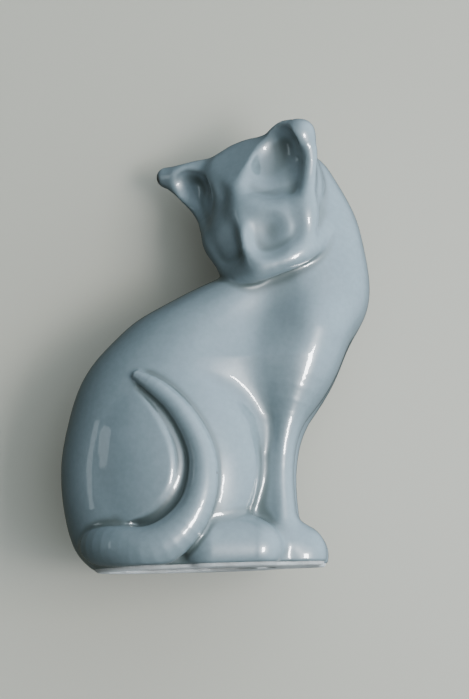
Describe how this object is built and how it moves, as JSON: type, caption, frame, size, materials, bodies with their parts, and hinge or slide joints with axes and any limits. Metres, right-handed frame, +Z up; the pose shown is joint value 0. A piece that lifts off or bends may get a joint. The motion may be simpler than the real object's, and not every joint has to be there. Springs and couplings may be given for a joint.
{
  "type": "ceramic cat figurine",
  "caption": "Glossy glazed ceramic figurine of a stylised seated cat with its head turned to the side and its tail curled over the thigh.",
  "frame": {"origin": "middle of the bounding box, on the surface the figurine stands on", "axes": "+X out of the cat's chest, -Y the side its head is turned to, +Z up"},
  "size_m": [0.1313, 0.0769, 0.1828],
  "materials": {
    "glaze": "glossy",
    "bare_clay": "matte"
  },
  "bodies": {
    "root": {"body_shell": "glaze", "head_shell": "glaze", "left_ear": "glaze", "right_ear": "glaze", "tail": "glaze", "base_plate": "bare_clay"}
  },
  "joints": []
}
